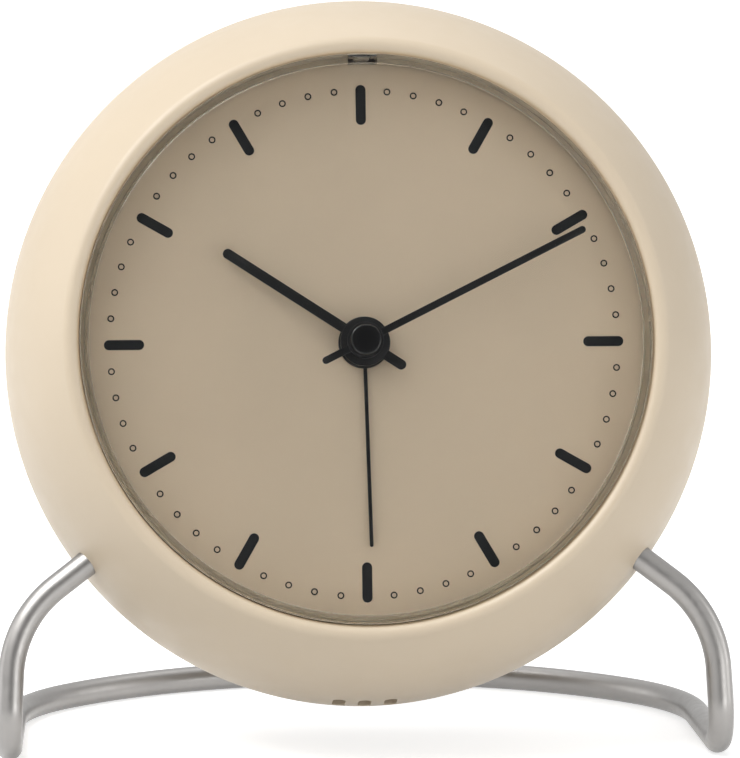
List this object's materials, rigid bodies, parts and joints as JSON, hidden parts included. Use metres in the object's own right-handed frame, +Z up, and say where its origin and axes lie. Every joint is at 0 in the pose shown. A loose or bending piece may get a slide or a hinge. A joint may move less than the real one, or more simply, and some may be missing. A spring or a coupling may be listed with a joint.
{
  "type": "table alarm clock",
  "caption": "Round alarm clock in a moulded case with a domed side, rolled lip, clear front, baton dial and three hands, held leaning back by a stand bent from one steel wire.",
  "frame": {"origin": "middle of the footprint on the table, at the lowest point of the stand", "axes": "+Z up; the dial faces -Y and leans back; +X is to the right as one reads the dial"},
  "size_m": [0.1142, 0.084, 0.1154],
  "materials": {
    "case_plastic": "fine satin texture",
    "clear_plastic": "polished",
    "gasket_rubber": "matt",
    "dial_metal": "silky metallic lacquer",
    "black_ink": "matt",
    "hand_metal": "satin black",
    "black_plastic": "glossy",
    "lamp_plastic": "milky",
    "stand_steel": "fine satin",
    "spring_steel": "bright",
    "white_plastic": "matt",
    "grey_plastic": "matt",
    "board": "solder mask",
    "copper_wire": "enamelled",
    "stator_iron": "stamped",
    "magnet": "bare",
    "contact_brass": "bright",
    "battery_sleeve": "printed sleeve"
  },
  "bodies": {
    "root": {"case_ring": "case_plastic", "rear_cover": "case_plastic", "crystal": "clear_plastic", "crystal_gasket": "gasket_rubber", "dial": "dial_metal", "dial_marks": "black_ink", "lamp_holder": "black_plastic", "lamp_lens": "lamp_plastic", "wire_stand": "stand_steel", "stand_clips": "spring_steel", "dial_carrier": "white_plastic", "carrier_screws": "spring_steel", "case_screws": "spring_steel", "movement_front": "grey_plastic", "movement_back": "grey_plastic", "movement_screws": "spring_steel", "circuit_board": "board", "control_chip": "black_plastic", "quartz_can": "spring_steel", "alarm_contact": "contact_brass", "coil_bobbin": "white_plastic", "coil_winding": "copper_wire", "coil_core": "stator_iron", "stator": "stator_iron", "alarm_switch_body": "grey_plastic", "snooze_switch": "grey_plastic", "sounder_case": "black_plastic", "sounder_disc": "contact_brass", "battery": "battery_sleeve", "plus_contact": "contact_brass", "minus_spring": "spring_steel"},
    "minute": {"minute_arbor": "spring_steel", "minute_hand": "hand_metal", "hub_cap": "black_plastic"},
    "hour": {"hour_wheel": "white_plastic", "hour_hand": "hand_metal"},
    "motion": {"minute_wheel": "white_plastic"},
    "time_setter": {"time_stem": "spring_steel", "time_knob": "case_plastic"},
    "alarm": {"alarm_wheel": "white_plastic", "alarm_hand": "hand_metal"},
    "alarm_setter": {"alarm_stem": "spring_steel", "alarm_knob": "case_plastic"},
    "rotor_group": {"rotor": "magnet"},
    "fifth": {"fifth_wheel": "white_plastic"},
    "fourth": {"fourth_wheel": "white_plastic"},
    "third": {"third_wheel": "white_plastic"},
    "centre": {"centre_wheel": "contact_brass"},
    "alarm_switch": {"alarm_switch_slider": "black_plastic"},
    "snooze": {"snooze_button": "case_plastic"},
    "door": {"battery_door": "case_plastic"}
  },
  "joints": [
    {"name": "minute_turn", "type": "hinge", "parent": "root", "child": "minute", "pos_m": [0, -0.02555, 0.06535], "axis": [0, -0.9703, 0.2419], "continuous": true},
    {"name": "hour_turn", "type": "hinge", "parent": "root", "child": "hour", "pos_m": [0, -0.02458, 0.06511], "axis": [0, -0.9703, 0.2419], "continuous": true},
    {"name": "motion_turn", "type": "hinge", "parent": "root", "child": "motion", "pos_m": [0.0052, -0.01512, 0.06585], "axis": [0, -0.9703, 0.2419], "continuous": true},
    {"name": "time_setter_turn", "type": "hinge", "parent": "root", "child": "time_setter", "pos_m": [0.01039, -0.00663, 0.06682], "axis": [0, -0.9703, 0.2419], "continuous": true},
    {"name": "alarm_turn", "type": "hinge", "parent": "root", "child": "alarm", "pos_m": [0, -0.0207, 0.06414], "axis": [0, -0.9703, 0.2419], "continuous": true},
    {"name": "alarm_setter_turn", "type": "hinge", "parent": "root", "child": "alarm_setter", "pos_m": [-0.00675, -0.00714, 0.06478], "axis": [0, -0.9703, 0.2419], "continuous": true},
    {"name": "rotor_turn", "type": "hinge", "parent": "root", "child": "rotor_group", "pos_m": [0.00911, -0.01381, 0.0463], "axis": [0, -0.9703, 0.2419], "continuous": true},
    {"name": "fifth_turn", "type": "hinge", "parent": "root", "child": "fifth", "pos_m": [0.01121, -0.01293, 0.04983], "axis": [0, -0.9703, 0.2419], "continuous": true},
    {"name": "fourth_turn", "type": "hinge", "parent": "root", "child": "fourth", "pos_m": [0.00881, -0.01192, 0.05386], "axis": [0, -0.9703, 0.2419], "continuous": true},
    {"name": "third_turn", "type": "hinge", "parent": "root", "child": "third", "pos_m": [0.0034, -0.01145, 0.05577], "axis": [0, -0.9703, 0.2419], "continuous": true},
    {"name": "centre_turn", "type": "hinge", "parent": "root", "child": "centre", "pos_m": [0, -0.01293, 0.06221], "axis": [0, -0.9703, 0.2419], "continuous": true},
    {"name": "alarm_switch_slide", "type": "slide", "parent": "root", "child": "alarm_switch", "axis": [1, 0, 0], "range_m": [0, 0.004]},
    {"name": "snooze_press", "type": "slide", "parent": "root", "child": "snooze", "axis": [0, -0.9703, 0.2419], "range_m": [0, 0.001], "stiffness_N_per_m": 150, "springref_m": -0.001},
    {"name": "door_pull", "type": "slide", "parent": "root", "child": "door", "axis": [0, 0.9703, -0.2419], "range_m": [0, 0.012]}
  ],
  "couplings": [
    {"joint": "hour_turn", "follows": "minute_turn", "ratio": 0.083333},
    {"joint": "motion_turn", "follows": "minute_turn", "ratio": -0.33333},
    {"joint": "time_setter_turn", "follows": "minute_turn", "ratio": 1},
    {"joint": "alarm_setter_turn", "follows": "alarm_turn", "ratio": -1.6},
    {"joint": "fifth_turn", "follows": "rotor_turn", "ratio": -0.16667},
    {"joint": "fourth_turn", "follows": "rotor_turn", "ratio": 0.033333},
    {"joint": "third_turn", "follows": "rotor_turn", "ratio": -0.0041667},
    {"joint": "centre_turn", "follows": "rotor_turn", "ratio": 0.00055556}
  ]
}
